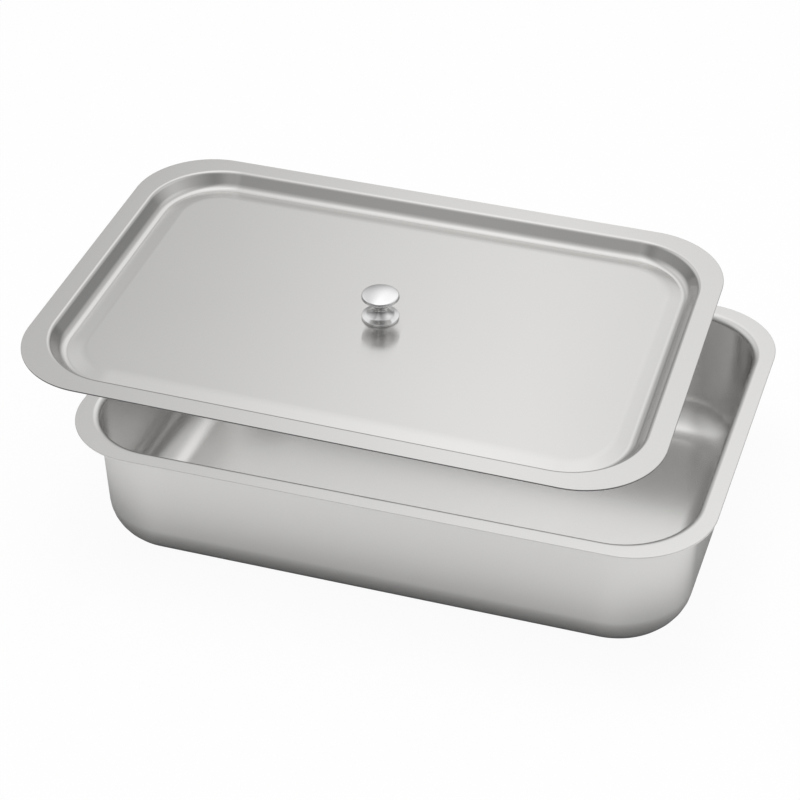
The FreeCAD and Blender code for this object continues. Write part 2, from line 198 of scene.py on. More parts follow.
def bent(corners, step_angle=BEND_STEP):
    """The path through corners given as (inset, height, bend radius)."""
    points = [Vector((corners[0][0], corners[0][1]))]
    for before, corner, after in zip(corners, corners[1:], corners[2:]):
        here, radius = Vector(corner[:2]), corner[2]
        if radius == 0:
            points.append(here)
            continue
        back = (Vector(before[:2]) - here).normalized()
        on = (Vector(after[:2]) - here).normalized()
        half = back.angle(on) / 2
        centre = here + (back + on).normalized() * (radius / math.sin(half))
        start = here + back * (radius / math.tan(half))
        end = here + on * (radius / math.tan(half))
        points += arc(start, end, centre, step_angle)
    points.append(Vector((corners[-1][0], corners[-1][1])))
    return points


def arc(start, end, centre, step_angle):
    """Points of the shorter arc round centre, both ends with it."""
    first, last = start - centre, end - centre
    sweep = first.angle_signed(last)
    steps = max(2, round(abs(sweep) / step_angle))
    return [centre + Matrix.Rotation(-sweep * i / steps, 2) @ first for i in range(steps + 1)]


print("a square bend has", round(QUARTER_TURN / BEND_STEP), "steps")

# %% [markdown]
# ## The tray
# The tray is one sheet, drawn deep: a flat bottom, a wide bend, walls that lean out by
# about one degree so that it comes off the punch, and a flat rim with a sheared edge.
# Extruding a rounded rectangle would give the outside alone. Written as a section, the
# sheet has its outside and its inside, each with its own radius at every bend.

# %% The tray's sizes
# The outside comes from its CAD node. The rest are the sheet's own sizes, as in the
# part's table.
tray_low, tray_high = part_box("tray")
rim_length, rim_width, tray_height = tray_high - tray_low
SHEET = 0.9 * MM
SHEET_EDGE = 0.28 * MM
RIM_CORNER = 40 * MM
RIM_TO_WALL = 9.1 * MM
WALL_CORNER = 37 * MM
WALL_DRAFT = math.radians(1.1)
BOTTOM_RADIUS = 20 * MM
RIM_BEND = 3.5 * MM
print("tray, mm:", [round(v / MM, 2) for v in (rim_length, rim_width, tray_height)])

# %% The tray's section
# Out from the middle of the underside, up the wall, round the rim and back inside.
lean = math.tan(WALL_DRAFT)
inner_wall = RIM_TO_WALL + SHEET / math.cos(WALL_DRAFT)
tray_section = bent([
    (rim_width / 2, 0.0, 0),
    (RIM_TO_WALL + tray_height * lean, 0.0, BOTTOM_RADIUS),
    (RIM_TO_WALL + SHEET * lean, tray_height - SHEET, RIM_BEND - SHEET),
    (0.0, tray_height - SHEET, SHEET_EDGE),
    (0.0, tray_height, SHEET_EDGE),
    (inner_wall, tray_height, RIM_BEND),
    (inner_wall + (tray_height - SHEET) * lean, SHEET, BOTTOM_RADIUS - SHEET),
    (rim_width / 2, SHEET, 0),
])
print("tray section:", len(tray_section), "points")

# %% [markdown]
# ## The lid
# The lid is one pressed sheet too: a flat flange, a slanting step down into a channel,
# and a middle that rises again by 1.4 mm. Insets and proportional editing on a plane
# could model it, but the step has to keep its slope and its distance from the edge all
# the way round, corners included, and a section does that by itself. It is drawn closed
# on the tray's rim, and swung up later.

# %% The lid's sizes
LID_LENGTH = 307 * MM
LID_WIDTH = 211 * MM
LID_CORNER = 40 * MM
LID_FLANGE = 9.6 * MM
LID_BEND = 2.5 * MM
SEAT_GAP = 0.1 * MM
STEP_CORNER = 38 * MM
STEP_LEAN = math.radians(34)
STEP_DEPTH = 7.2 * MM
CHANNEL_BEND = 5.0 * MM
RISE_INSET = 18.6 * MM
RISE_SOFT = 4 * MM
PANEL_INSET = 26 * MM
PANEL_RISE = 1.4 * MM
PANEL_SOFT = 24 * MM
print("lid, mm:", round(LID_LENGTH / MM), "by", round(LID_WIDTH / MM))

# %% The lid's section, closed on the rim
flange_top = tray_height + SEAT_GAP + SHEET
channel_top = flange_top - STEP_DEPTH
panel_top = channel_top + PANEL_RISE
slope = math.tan(STEP_LEAN)
inner_step = LID_FLANGE + SHEET / math.cos(STEP_LEAN)
lid_section = bent([
    (LID_WIDTH / 2, panel_top - SHEET, 0),
    (PANEL_INSET, panel_top - SHEET, PANEL_SOFT),
    (RISE_INSET, channel_top - SHEET, RISE_SOFT),
    (LID_FLANGE + (STEP_DEPTH + SHEET) * slope, channel_top - SHEET, CHANNEL_BEND + SHEET),
    (LID_FLANGE + SHEET * slope, flange_top - SHEET, LID_BEND - SHEET),
    (0.0, flange_top - SHEET, SHEET_EDGE),
    (0.0, flange_top, SHEET_EDGE),
    (inner_step, flange_top, LID_BEND),
    (inner_step + STEP_DEPTH * slope, channel_top, CHANNEL_BEND),
    (RISE_INSET, channel_top, RISE_SOFT),
    (PANEL_INSET, panel_top, PANEL_SOFT),
    (LID_WIDTH / 2, panel_top, 0),
])
print("lid section:", len(lid_section), "points")

# %% [markdown]
# ## The knob
# The knob is turned from bar: a thin foot, a slim neck with a flare at each end, and a
# wide head with a shallow dome. A lathe follows a profile, and so does Blender's Spin.
# The ring tree does the same with a corner radius of half the diameter, so the profile
# is all that is new here. It is written by radius and height, as a turner would.

# %% The knob's sizes
FOOT_DIAMETER = 18.2 * MM
FOOT_EDGE = 1.3 * MM
FOOT_FLARE = 6.6 * MM
FOOT_LOW_ROUND = 0.5 * MM
FOOT_HIGH_ROUND = 0.3 * MM
NECK_DIAMETER = 7.4 * MM
NECK_HEIGHT = 6.4 * MM
HEAD_DIAMETER = 18.6 * MM
HEAD_FLARE = 6.2 * MM
HEAD_EDGE_LOW = 11.7 * MM
HEAD_EDGE_HIGH = 13.2 * MM
HEAD_ROUND = 0.5 * MM
HEAD_LIP = 0.2 * MM
HEAD_LEAN = 0.4 * MM
KNOB_HEIGHT = 14.1 * MM
THREAD_BORE = 4.1 * MM
THREAD_DEPTH = 8 * MM
print("knob, mm:", round(HEAD_DIAMETER / MM, 1), "across and", round(KNOB_HEIGHT / MM, 1), "high")


# %% The two flares and the dome
def arc_centre(start, end, radius, side):
    """The centre of an arc of that radius, on the left (+1) or right (-1) of its chord."""
    chord = end - start
    off = Vector((-chord.y, chord.x)).normalized() * side
    return (start + end) / 2 + off * math.sqrt(radius ** 2 - (chord.length / 2) ** 2)


FLARE_STEP = math.radians(6)
DOME_STEP = math.radians(1.5)
foot_top = Vector((FOOT_DIAMETER / 2, FOOT_EDGE))
neck = Vector((NECK_DIAMETER / 2, NECK_HEIGHT))
head_low = Vector((HEAD_DIAMETER / 2 - HEAD_LIP, HEAD_EDGE_LOW))
head_high = Vector((HEAD_DIAMETER / 2 - HEAD_LEAN - HEAD_ROUND, HEAD_EDGE_HIGH))
crown = Vector((0.0, KNOB_HEIGHT))
crown_rise = KNOB_HEIGHT - HEAD_EDGE_HIGH
crown_radius = (head_high.x ** 2 / crown_rise + crown_rise) / 2
foot_flare = arc(foot_top, neck, arc_centre(foot_top, neck, FOOT_FLARE, -1), FLARE_STEP)
head_flare = arc(neck, head_low, arc_centre(neck, head_low, HEAD_FLARE, -1), FLARE_STEP)
dome = arc(head_high, crown, Vector((0.0, KNOB_HEIGHT - crown_radius)), DOME_STEP)
print("flares and dome:", len(foot_flare), len(head_flare), len(dome), "points")

# %% The foot and the head's edge
# The foot's upper rounding takes the place of the flare's first points.
EDGE_STEP = math.radians(18)
ROUNDED_AWAY = 3
flare_on = foot_flare[ROUNDED_AWAY]
foot = bent([
    (0.0, THREAD_DEPTH, 0),
    (THREAD_BORE / 2, THREAD_DEPTH, 0),
    (THREAD_BORE / 2, 0.0, 0),
    (FOOT_DIAMETER / 2, 0.0, FOOT_LOW_ROUND),
    (FOOT_DIAMETER / 2, FOOT_EDGE, FOOT_HIGH_ROUND),
    (flare_on.x, flare_on.y, 0),
])
edge = bent([
    (head_low.x, head_low.y, 0),
    (HEAD_DIAMETER / 2, HEAD_EDGE_LOW + HEAD_LIP / 2, HEAD_LIP),
    (HEAD_DIAMETER / 2 - HEAD_LEAN, HEAD_EDGE_HIGH - HEAD_LIP, HEAD_ROUND),
    (head_high.x, head_high.y, 0),
], EDGE_STEP)
print("foot and edge:", len(foot), len(edge), "points")


# %% The knob's section
def turned(profile, diameter, base):
    """Radii and heights made into insets and heights."""
    return [Vector((diameter / 2 - radius, base + up)) for radius, up in profile]


knob_profile = foot + foot_flare[ROUNDED_AWAY + 1:] + head_flare[1:] + edge[1:-1] + dome
knob_section = turned(knob_profile, HEAD_DIAMETER, panel_top)
print("knob section:", len(knob_section), "points")

# %% [markdown]
# ## The washer and the screw
# A washer spreads the pull of a slotted screw that comes up through the lid into the
# knob. They are small and sit below, so Blender's cylinder would nearly do, but the
# same tree gives the washer its hole and the screw's head its chamfer at no more work.

# %% Their sizes
WASHER_DIAMETER = 12 * MM
WASHER_BORE = 4.4 * MM
WASHER_THICKNESS = 1.0 * MM
SCREW_SHANK = 4.0 * MM
SCREW_REACH = 6 * MM
SCREW_HEAD = 7.6 * MM
SCREW_HEAD_HEIGHT = 2.4 * MM
SCREW_CHAMFER = 0.7 * MM
SLOT_WIDTH = 1.2 * MM
SLOT_DEPTH = 1.1 * MM
washer_top = panel_top - SHEET
screw_tip = WASHER_THICKNESS + SHEET + SCREW_REACH
print("screw above its head, mm:", round(screw_tip / MM, 1))

# %% Their sections
washer_section = turned([
    (WASHER_DIAMETER / 2, 0),
    (WASHER_DIAMETER / 2, -WASHER_THICKNESS),
    (WASHER_BORE / 2, -WASHER_THICKNESS),
    (WASHER_BORE / 2, 0),
    (WASHER_DIAMETER / 2, 0),
], WASHER_DIAMETER, washer_top)
screw_section = turned([
    (0, -SCREW_HEAD_HEIGHT),
    (SCREW_HEAD / 2 - SCREW_CHAMFER, -SCREW_HEAD_HEIGHT),
    (SCREW_HEAD / 2, SCREW_CHAMFER - SCREW_HEAD_HEIGHT),
    (SCREW_HEAD / 2, 0),
    (SCREW_SHANK / 2, 0),
    (SCREW_SHANK / 2, screw_tip),
    (0, screw_tip),
], SCREW_HEAD, washer_top - WASHER_THICKNESS)
print("washer and screw:", len(washer_section), len(screw_section), "points")

# %% [markdown]
# ## The steel's two effects
# Seen close, such a sheet has fine lines from rolling, and it shines a little more in
# one place than in another. A photograph of steel could carry both, but it would have
# seams and a fixed scale. Noise on Object coordinates has neither, and it moves with
# the piece. Each effect is a shader group with named inputs, built once and used in
# every steel here with its own values.


# %% Rolling lines
# They are noise that is drawn out fifty times along the sheet's length.
def effect(name, inputs):
    """A shader group that reads object coordinates and gives one value."""
    tree = bpy.data.node_groups.new(name, "ShaderNodeTree")
    for word, value in inputs:
        socket = tree.interface.new_socket(word, in_out="INPUT", socket_type="NodeSocketFloat")
        socket.default_value = value
    tree.interface.new_socket("Value", in_out="OUTPUT", socket_type="NodeSocketFloat")
    place = tree.nodes.new("ShaderNodeTexCoord").outputs["Object"]
    return tree, tree.nodes.new("NodeGroupInput").outputs, place, tree.nodes.new("NodeGroupOutput").inputs


def noise(tree, place, scale, detail, stretch):
    """Noise on stretched coordinates, as its value from 0 to 1."""
    stretched = tree.nodes.new("ShaderNodeMapping")
    stretched.inputs["Scale"].default_value = stretch
    tree.links.new(place, stretched.inputs[0])
    texture = tree.nodes.new("ShaderNodeTexNoise")
    tree.links.new(stretched.outputs[0], texture.inputs["Vector"])
    wire(tree, texture.inputs["Scale"], scale)
    wire(tree, texture.inputs["Detail"], detail)
    return texture.outputs[0]


LINE_STRETCH = (0.02, 1, 1)
LINE_DETAIL = 3.0
grain_tree, grain_in, grain_place, grain_out = effect(
    "rolling_lines", [("Lines per Metre", 1400.0), ("Strength", 1.0)])
lines = noise(grain_tree, grain_place, grain_in["Lines per Metre"], LINE_DETAIL, LINE_STRETCH)
wire(grain_tree, grain_out["Value"], sum_node(grain_tree, "MULTIPLY", lines, grain_in["Strength"]))
print("effect:", grain_tree.name, [s.name for s in grain_in if s.name])

# %% Uneven shine
# Noise lies mostly between 0.3 and 0.7, so that range is spread from Low to High.
CLOUD_STRETCH = (1, 1, 1)
CLOUD_DETAIL = 4.0
CLOUD_LOW = 0.3
CLOUD_HIGH = 0.7
cloud_tree, cloud_in, cloud_place, cloud_out = effect(
    "uneven_shine", [("Size", 9.0), ("Low", 0.0), ("High", 1.0)])
clouds = noise(cloud_tree, cloud_place, cloud_in["Size"], CLOUD_DETAIL, CLOUD_STRETCH)
ramp = cloud_tree.nodes.new("ShaderNodeMapRange")
ramp.interpolation_type = "SMOOTHSTEP"
for word, value in (("Value", clouds), ("From Min", CLOUD_LOW), ("From Max", CLOUD_HIGH),
                    ("To Min", cloud_in["Low"]), ("To Max", cloud_in["High"])):
    wire(cloud_tree, ramp.inputs[word], value)
wire(cloud_tree, cloud_out["Value"], ramp.outputs[0])
print("effect:", cloud_tree.name, [s.name for s in cloud_in if s.name])

# %% [markdown]
# ## The steels
# Tray and lid are satin, the knob is polished, and the fixings are plain. To Blender all
# four are the same thing, a metal with a colour and a roughness, so one helper makes
# them. The two effects are added up as the roughness. The tray's stays under about
# 0.27, since above that the denoiser leaves blotches on its broad walls.


# %% One helper for four steels
def steel(name, colour, rough_low, rough_high, grain=0.0):
    """Metal with rolling lines and an uneven shine."""
    material = bpy.data.materials.new(name)
    material.use_nodes = True
    tree = material.node_tree
    shader = tree.nodes["Principled BSDF"]
    shader.inputs["Base Color"].default_value = (*colour, 1)
    shader.inputs["Metallic"].default_value = 1.0
    shine = tree.nodes.new("ShaderNodeGroup")
    shine.node_tree = cloud_tree
    shine.inputs["Low"].default_value = rough_low
    shine.inputs["High"].default_value = rough_high
    rolled = tree.nodes.new("ShaderNodeGroup")
    rolled.node_tree = grain_tree
    rolled.inputs["Strength"].default_value = grain
    wire(tree, shader.inputs["Roughness"], sum_node(tree, "ADD", shine.outputs[0], rolled.outputs[0]))
    return material


TRAY_COLOUR = (0.78, 0.773, 0.762)
LID_COLOUR = (0.70, 0.693, 0.682)
KNOB_COLOUR = (0.90, 0.90, 0.90)
FIXING_COLOUR = (0.6, 0.6, 0.59)
GRAIN = 0.015
tray_steel = steel("tray_steel", TRAY_COLOUR, rough_low=0.225, rough_high=0.25, grain=GRAIN)
lid_steel = steel("lid_steel", LID_COLOUR, rough_low=0.12, rough_high=0.15, grain=GRAIN)
polished_knob = steel("polished_knob", KNOB_COLOUR, rough_low=0.12, rough_high=0.14)
fixing_steel = steel("fixing_steel", FIXING_COLOUR, rough_low=0.3, rough_high=0.36)
print("steels:", [m.name for m in (tray_steel, lid_steel, polished_knob, fixing_steel)])

# %% [markdown]
# ## Shine that spreads across the lines
# Lines in steel blur what it mirrors, but only across themselves, so a lamp becomes a
# streak. Lines cut into the mesh or a bump would have to be finer than a pixel. The
# Principled shader has it built in, as Anisotropic and a Tangent.


# %% The lid's lines run along its length
def spread_shine(material, along, amount):
    """Blurs reflections along a direction given in object coordinates."""
    tree = material.node_tree
    shader = tree.nodes["Principled BSDF"]
    turned_to = tree.nodes.new("ShaderNodeVectorTransform")
    turned_to.convert_from, turned_to.convert_to = "OBJECT", "WORLD"
    wire(tree, turned_to.inputs[0], along)
    tree.links.new(turned_to.outputs[0], shader.inputs["Tangent"])
    shader.inputs["Anisotropic"].default_value = amount


LID_ACROSS = (0, 1, 0)
LID_SPREAD = 0.95
spread_shine(lid_steel, LID_ACROSS, LID_SPREAD)
print("lid's shine spreads along", LID_ACROSS)

# %% [markdown]
# ## Painted shade on the lid's sheared edge
# The lid's sheared edge is painted dark, as painted shade that stands for the shadow on
# it. It could have a material of its own on its faces, but the edge is rounded by a
# quarter of a millimetre, and there the one colour passes into the other. So the lid's
# colour goes by its normal: only on the sheared edge does that lie level.

# %% Painted shade, a dark colour where the normal lies level
# The Mix node has a set of sockets for each kind of value. Those for colours are the
# seventh and eighth that go in, and the third that comes out, counted from 0 here.
# Painted shade: the sheared edge gets a dark colour that stands for the shadow on it.
PAINTED_EDGE_SHADE = (0.12, 0.12, 0.12, 1)
EDGE_FULL = 0.2
EDGE_GONE = 0.45
FIRST_COLOUR, SECOND_COLOUR, MIXED_COLOUR = 6, 7, 2
lid_nodes = lid_steel.node_tree
facing = lid_nodes.nodes.new("ShaderNodeVectorTransform")
facing.vector_type, facing.convert_from, facing.convert_to = "NORMAL", "WORLD", "OBJECT"
lid_nodes.links.new(lid_nodes.nodes.new("ShaderNodeNewGeometry").outputs["Normal"], facing.inputs[0])
upward = lid_nodes.nodes.new("ShaderNodeSeparateXYZ")
lid_nodes.links.new(facing.outputs[0], upward.inputs[0])
steepness = sum_node(lid_nodes, "ABSOLUTE", upward.outputs[2])
level = lid_nodes.nodes.new("ShaderNodeMapRange")
for word, value in (("Value", steepness), ("From Min", EDGE_FULL), ("From Max", EDGE_GONE),
                    ("To Min", 1.0), ("To Max", 0.0)):
    wire(lid_nodes, level.inputs[word], value)
edge_shade_mix = lid_nodes.nodes.new("ShaderNodeMix")
edge_shade_mix.data_type = "RGBA"
wire(lid_nodes, edge_shade_mix.inputs["Factor"], level.outputs[0])
edge_shade_mix.inputs[FIRST_COLOUR].default_value = (*LID_COLOUR, 1)
edge_shade_mix.inputs[SECOND_COLOUR].default_value = PAINTED_EDGE_SHADE
lid_shader = lid_nodes.nodes["Principled BSDF"]
lid_nodes.links.new(edge_shade_mix.outputs[MIXED_COLOUR], lid_shader.inputs["Base Color"])
print("lid steel:", len(lid_nodes.nodes), "nodes")

# %% [markdown]
# ## The lid isn't mirrored in the tray
# A tray would mirror the lid over it, and the photograph shows none of that. The lid
# could be hidden from all mirrored rays, but then its own step would be gone from its
# channel too. So only its underside lets them pass. Light Path's Is Glossy Ray is
# linked straight to the last mix, so the camera always sees steel.

# %% Mirrored rays pass the underside
under = sum_node(lid_nodes, "LESS_THAN", upward.outputs[2], 0.0)
clear = lid_nodes.nodes.new("ShaderNodeBsdfTransparent")
open_under = lid_nodes.nodes.new("ShaderNodeMixShader")
wire(lid_nodes, open_under.inputs[0], under)
lid_nodes.links.new(lid_shader.outputs[0], open_under.inputs[1])
lid_nodes.links.new(clear.outputs[0], open_under.inputs[2])
passing = lid_nodes.nodes.new("ShaderNodeMixShader")
wire(lid_nodes, passing.inputs[0], lid_nodes.nodes.new("ShaderNodeLightPath").outputs["Is Glossy Ray"])
lid_nodes.links.new(lid_shader.outputs[0], passing.inputs[1])
lid_nodes.links.new(open_under.outputs[0], passing.inputs[2])
lid_nodes.links.new(passing.outputs[0], lid_nodes.nodes["Material Output"].inputs[0])
print("lid steel:", len(lid_nodes.nodes), "nodes")

# %% [markdown]
# ## The five pieces
# A modifier only shows a shape, and leaves the object's own mesh as it was. To be kept
# and exported, what it shows is turned into a plain mesh and the modifier is taken off.
# Where a section ends in the middle of a piece, its last ring shrinks to a line or a
# point. That leaves doubled points and slivers, which are cleared away in the same go.

# %% A modifier's result, cleaned and kept
DOUBLED = 0.002 * MM
SLIVER = 0.001 * MM


def tidy(mesh):
    """Joins doubled points, turns the faces outward and shades them smooth."""
    work = bmesh.new()
    work.from_mesh(mesh)
    bmesh.ops.remove_doubles(work, verts=work.verts, dist=DOUBLED)
    bmesh.ops.dissolve_degenerate(work, edges=work.edges, dist=SLIVER)
    bmesh.ops.recalc_face_normals(work, faces=work.faces)
    work.to_mesh(mesh)
    work.free()
    mesh.shade_smooth()


def settle(made):
    """Keeps what the modifiers show as the object's own mesh, and takes them off."""
    drawn = made.evaluated_get(bpy.context.evaluated_depsgraph_get())
    mesh = bpy.data.meshes.new_from_object(drawn)
    made.modifiers.clear()
    made.data = mesh
    tidy(mesh)


# %% From a section to a piece
def piece(name, section, length, width, edge_corner, wall_corner, wall_inset, steps, material):
    """The closed mesh of a section, with the material on it."""
    points = bpy.data.meshes.new(name)
    points.from_pydata([(p.x, 0.0, p.y) for p in section], [], [])
    made = bpy.data.objects.new(name, points)
    bpy.context.scene.collection.objects.link(made)
    rings = made.modifiers.new("rings", "NODES")
    rings.node_group = ring_tree
    given_values = {"Length": length, "Width": width, "Edge Corner": edge_corner,
                    "Wall Corner": wall_corner, "Wall Inset": wall_inset,
                    "Corner Steps": steps, "Finish": material}
    for socket in ring_tree.interface.items_tree:
        if socket.in_out == "INPUT" and socket.name in given_values:
            rings[socket.identifier] = given_values[socket.name]
    settle(made)
    print(name, len(made.data.polygons), "faces")
    return made


def turned_piece(name, section, diameter, steps, material):
    """A round piece, whose four corners are its whole outline."""
    return piece(name, section, diameter, diameter, diameter / 2, diameter / 2, 0.0, steps, material)


# %% Tray, lid, knob, washer and screw
SHEET_STEPS = 30
KNOB_STEPS = 24
FIXING_STEPS = 12
tray_sheet = piece("tray_sheet", tray_section, rim_length, rim_width, RIM_CORNER,
                   WALL_CORNER, RIM_TO_WALL, SHEET_STEPS, tray_steel)
lid_sheet = piece("lid_sheet", lid_section, LID_LENGTH, LID_WIDTH, LID_CORNER,
                  STEP_CORNER, LID_FLANGE, SHEET_STEPS, lid_steel)
turned_knob = turned_piece("turned_knob", knob_section, HEAD_DIAMETER, KNOB_STEPS, polished_knob)
washer_disc = turned_piece("washer_disc", washer_section, WASHER_DIAMETER, FIXING_STEPS, fixing_steel)
slotted_screw = turned_piece("slotted_screw", screw_section, SCREW_HEAD, FIXING_STEPS, fixing_steel)

# %% [markdown]
# ## The screw's hole and its slot
# The lid has a hole for the screw, and the screw's head has a slot. Neither follows a
# section, so each is cut as it is in a workshop, with a tool: a rod for the hole and a
# block for the slot. The Boolean modifier takes the tool's shape out of the piece.


# %% The hole in the lid
def cut(target, name, shape):
    """Takes a plain block or rod out of a piece."""
    mesh = bpy.data.meshes.new(name)
    work = bmesh.new()
    shape(work)
    work.to_mesh(mesh)
    work.free()
    tool = bpy.data.objects.new(name, mesh)
    bpy.context.scene.collection.objects.link(tool)
    taken = target.modifiers.new("cut", "BOOLEAN")
    taken.object = tool
    taken.solver = "EXACT"
    settle(target)
    bpy.data.objects.remove(tool)


HOLE_SIDES = 48
ROD_LENGTH = 4 * SHEET


def hole_rod(work):
    """A rod through the lid's middle, as wide as the washer's bore."""
    bmesh.ops.create_cone(work, cap_ends=True, segments=HOLE_SIDES, radius1=WASHER_BORE / 2,
                          radius2=WASHER_BORE / 2, depth=ROD_LENGTH,
                          matrix=Matrix.Translation((0, 0, panel_top - SHEET / 2)))


cut(lid_sheet, "hole_tool", hole_rod)
print("lid faces:", len(lid_sheet.data.polygons))

# %% The slot in the screw
SLOT_LENGTH = SCREW_HEAD * 1.2


def slot_block(work):
    """A block across the screw's head, half of it below."""
    head_bottom = Matrix.Translation((0, 0, washer_top - WASHER_THICKNESS - SCREW_HEAD_HEIGHT))
    block_size = Matrix.Diagonal((SLOT_WIDTH, SLOT_LENGTH, 2 * SLOT_DEPTH, 1))
    bmesh.ops.create_cube(work, size=1.0, matrix=head_bottom @ block_size)


cut(slotted_screw, "slot_tool", slot_block)
print("screw faces:", len(slotted_screw.data.polygons))

# %% [markdown]
# ## The lid, lifted
# So far the lid lies closed on the rim. The photograph holds it above the tray, and
# the part's joint says along which line it gets there and how far. The turn could go
# on the objects, but each mesh takes it instead: the pieces then sit at the origin,
# unturned, and their patterns stay in place when they move.

# %% Swung to the lifted pose
swing = frame["joints"][0]
pivot = Matrix.Translation(swing["pos_m"])
lift = Matrix.Rotation(-math.radians(swing["range_deg"][0]), 4, Vector(swing["axis"]).normalized())
lifted = pivot @ lift @ pivot.inverted()
for part in (lid_sheet, turned_knob, washer_disc, slotted_screw):
    part.data.transform(lifted)
    part.data.update()
print("lid turned by", -swing["range_deg"][0], "degrees")

# %% [markdown]
# ## The knob's shine
# On a polished turning the last traces of the lathe are rings, so the shine spreads
# across them, away from the axis. Blender can make such a Tangent by itself, but only
# round one of the object's own axes, and the knob leans with the lid. So the Tangent
# is each point's own place less the middle of the knob's top.

# %% It spreads out from the knob's middle
KNOB_SPREAD = 0.85
knob_top = lifted @ Vector((0, 0, panel_top + KNOB_HEIGHT))
knob_nodes = polished_knob.node_tree
outward = knob_nodes.nodes.new("ShaderNodeVectorMath")
outward.operation = "SUBTRACT"
knob_nodes.links.new(knob_nodes.nodes.new("ShaderNodeTexCoord").outputs["Object"], outward.inputs[0])
outward.inputs[1].default_value = knob_top
spread_shine(polished_knob, outward.outputs[0], KNOB_SPREAD)
print("knob's top, mm:", [round(v / MM, 1) for v in knob_top])

# %% [markdown]
# ## What each piece stands for
# Smooth shading tilts the normals of a broad flat face next to a narrow bend, which
# can show as a dark rim round it. More points would cure it, at a price. The Weighted
# Normal modifier does it by letting the largest faces decide. Then each piece is put
# under the body it moves with, and the solid it replaces is hidden.

# %% Even shading, each piece under its body, and the solid it replaces hidden
LARGE_FACES_FIRST = 90
for part, node, body, finish in (
        (tray_sheet, "tray", "tray", "tray_steel"),
        (lid_sheet, "lid", "lid", "lid_steel"),
        (turned_knob, "knob", "lid", "polished_knob"),
        (washer_disc, "knob_washer", "lid", "fixing_steel"),
        (slotted_screw, "knob_screw", "lid", "fixing_steel")):
    weighted = part.modifiers.new("even_shading", "WEIGHTED_NORMAL")
    weighted.weight = LARGE_FACES_FIRST
    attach(part, body)
    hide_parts(node)
    print(part.name, "stands for", node, "and moves with", body)

# %% [markdown]
# ## The floor
# The photograph has a white background and hardly a shadow, yet the foot of the tray's
# walls is dark, because there they mirror the shade that the tray stands in. A plain
# white floor would light them up. So the floor's paint is dark close to the tray and
# pale further off, and to the camera a steady glow covers both.

# %% A flat sheet under the tray
FLOOR_SIZE = 14.0
FLOOR_DROP = 0.05 * MM
floor_mesh = bpy.data.meshes.new("floor")
half = FLOOR_SIZE / 2
floor_mesh.from_pydata([(-half, -half, 0), (half, -half, 0), (half, half, 0), (-half, half, 0)],
                       [], [(0, 1, 2, 3)])
floor = bpy.data.objects.new("floor", floor_mesh)
floor.location.z = -FLOOR_DROP
bpy.context.scene.collection.objects.link(floor)
print("floor, m:", FLOOR_SIZE, "across")

# %% Matt paint, and the distance from a block that stands for the tray
BLOCK_INSET = 30 * MM
floor_paint = bpy.data.materials.new("floor_paint")
floor_paint.use_nodes = True
paint = floor_paint.node_tree
matt = paint.nodes["Principled BSDF"]
matt.inputs["Roughness"].default_value = 1.0
matt.inputs["Specular IOR Level"].default_value = 0.0
block_half = (rim_length / 2 - BLOCK_INSET, rim_width / 2 - BLOCK_INSET, 0)
away = paint.nodes.new("ShaderNodeTexCoord").outputs["Object"]
for operation, operand in (("ABSOLUTE", None), ("SUBTRACT", block_half),
                           ("MAXIMUM", (0, 0, 0)), ("LENGTH", None)):
    step_node = paint.nodes.new("ShaderNodeVectorMath")
    step_node.operation = operation
    paint.links.new(away, step_node.inputs[0])
    if operand:
        step_node.inputs[1].default_value = operand
    away = step_node.outputs["Value" if operation == "LENGTH" else "Vector"]
print("block, mm:", [round(2 * v / MM) for v in block_half[:2]])

# %% Painted shadow: dark near the tray, pale further off
NEAR_DISTANCE = 5 * MM
FAR_DISTANCE = 68 * MM
NEAR_TONE = 0.29
FAR_TONE = 0.8
# The floor's colour holds a painted shadow round the tray.
shade = paint.nodes.new("ShaderNodeMapRange")
shade.interpolation_type = "SMOOTHSTEP"
for word, value in (("Value", away), ("From Min", NEAR_DISTANCE), ("From Max", FAR_DISTANCE),
                    ("To Min", NEAR_TONE), ("To Max", FAR_TONE)):
    wire(paint, shade.inputs[word], value)
paint.links.new(shade.outputs[0], matt.inputs["Base Color"])
print("floor tones:", NEAR_TONE, "to", FAR_TONE)

# %% The glow that the camera sees over it
CAMERA_GLOW = 0.955
GLOSSY_GLOW = 0.03
glow = paint.nodes.new("ShaderNodeEmission")
rays = paint.nodes.new("ShaderNodeLightPath").outputs
seen = sum_node(paint, "MULTIPLY", rays["Is Camera Ray"], CAMERA_GLOW)
bounced = sum_node(paint, "MAXIMUM", rays["Is Glossy Ray"], rays["Is Transmission Ray"])
mirrored = sum_node(paint, "MULTIPLY", GLOSSY_GLOW, bounced)
blend = paint.nodes.new("ShaderNodeMixShader")
wire(paint, blend.inputs[0], sum_node(paint, "MAXIMUM", seen, mirrored))
paint.links.new(matt.outputs[0], blend.inputs[1])
paint.links.new(glow.outputs[0], blend.inputs[2])
paint.links.new(blend.outputs[0], paint.nodes["Material Output"].inputs[0])
floor_mesh.materials.append(floor_paint)
print("floor paint:", len(paint.nodes), "nodes")

# %% [markdown]
# ## The sky
# Steel has no look of its own: it shows what stands round it. A studio would have soft
# boxes and dark cards, each a plane with its own light, and in the steel each would
# leave a hard edge. A sky whose brightness goes smoothly by height, and by how far
# right and how far back a ray points, mirrors as softly as the photograph does.


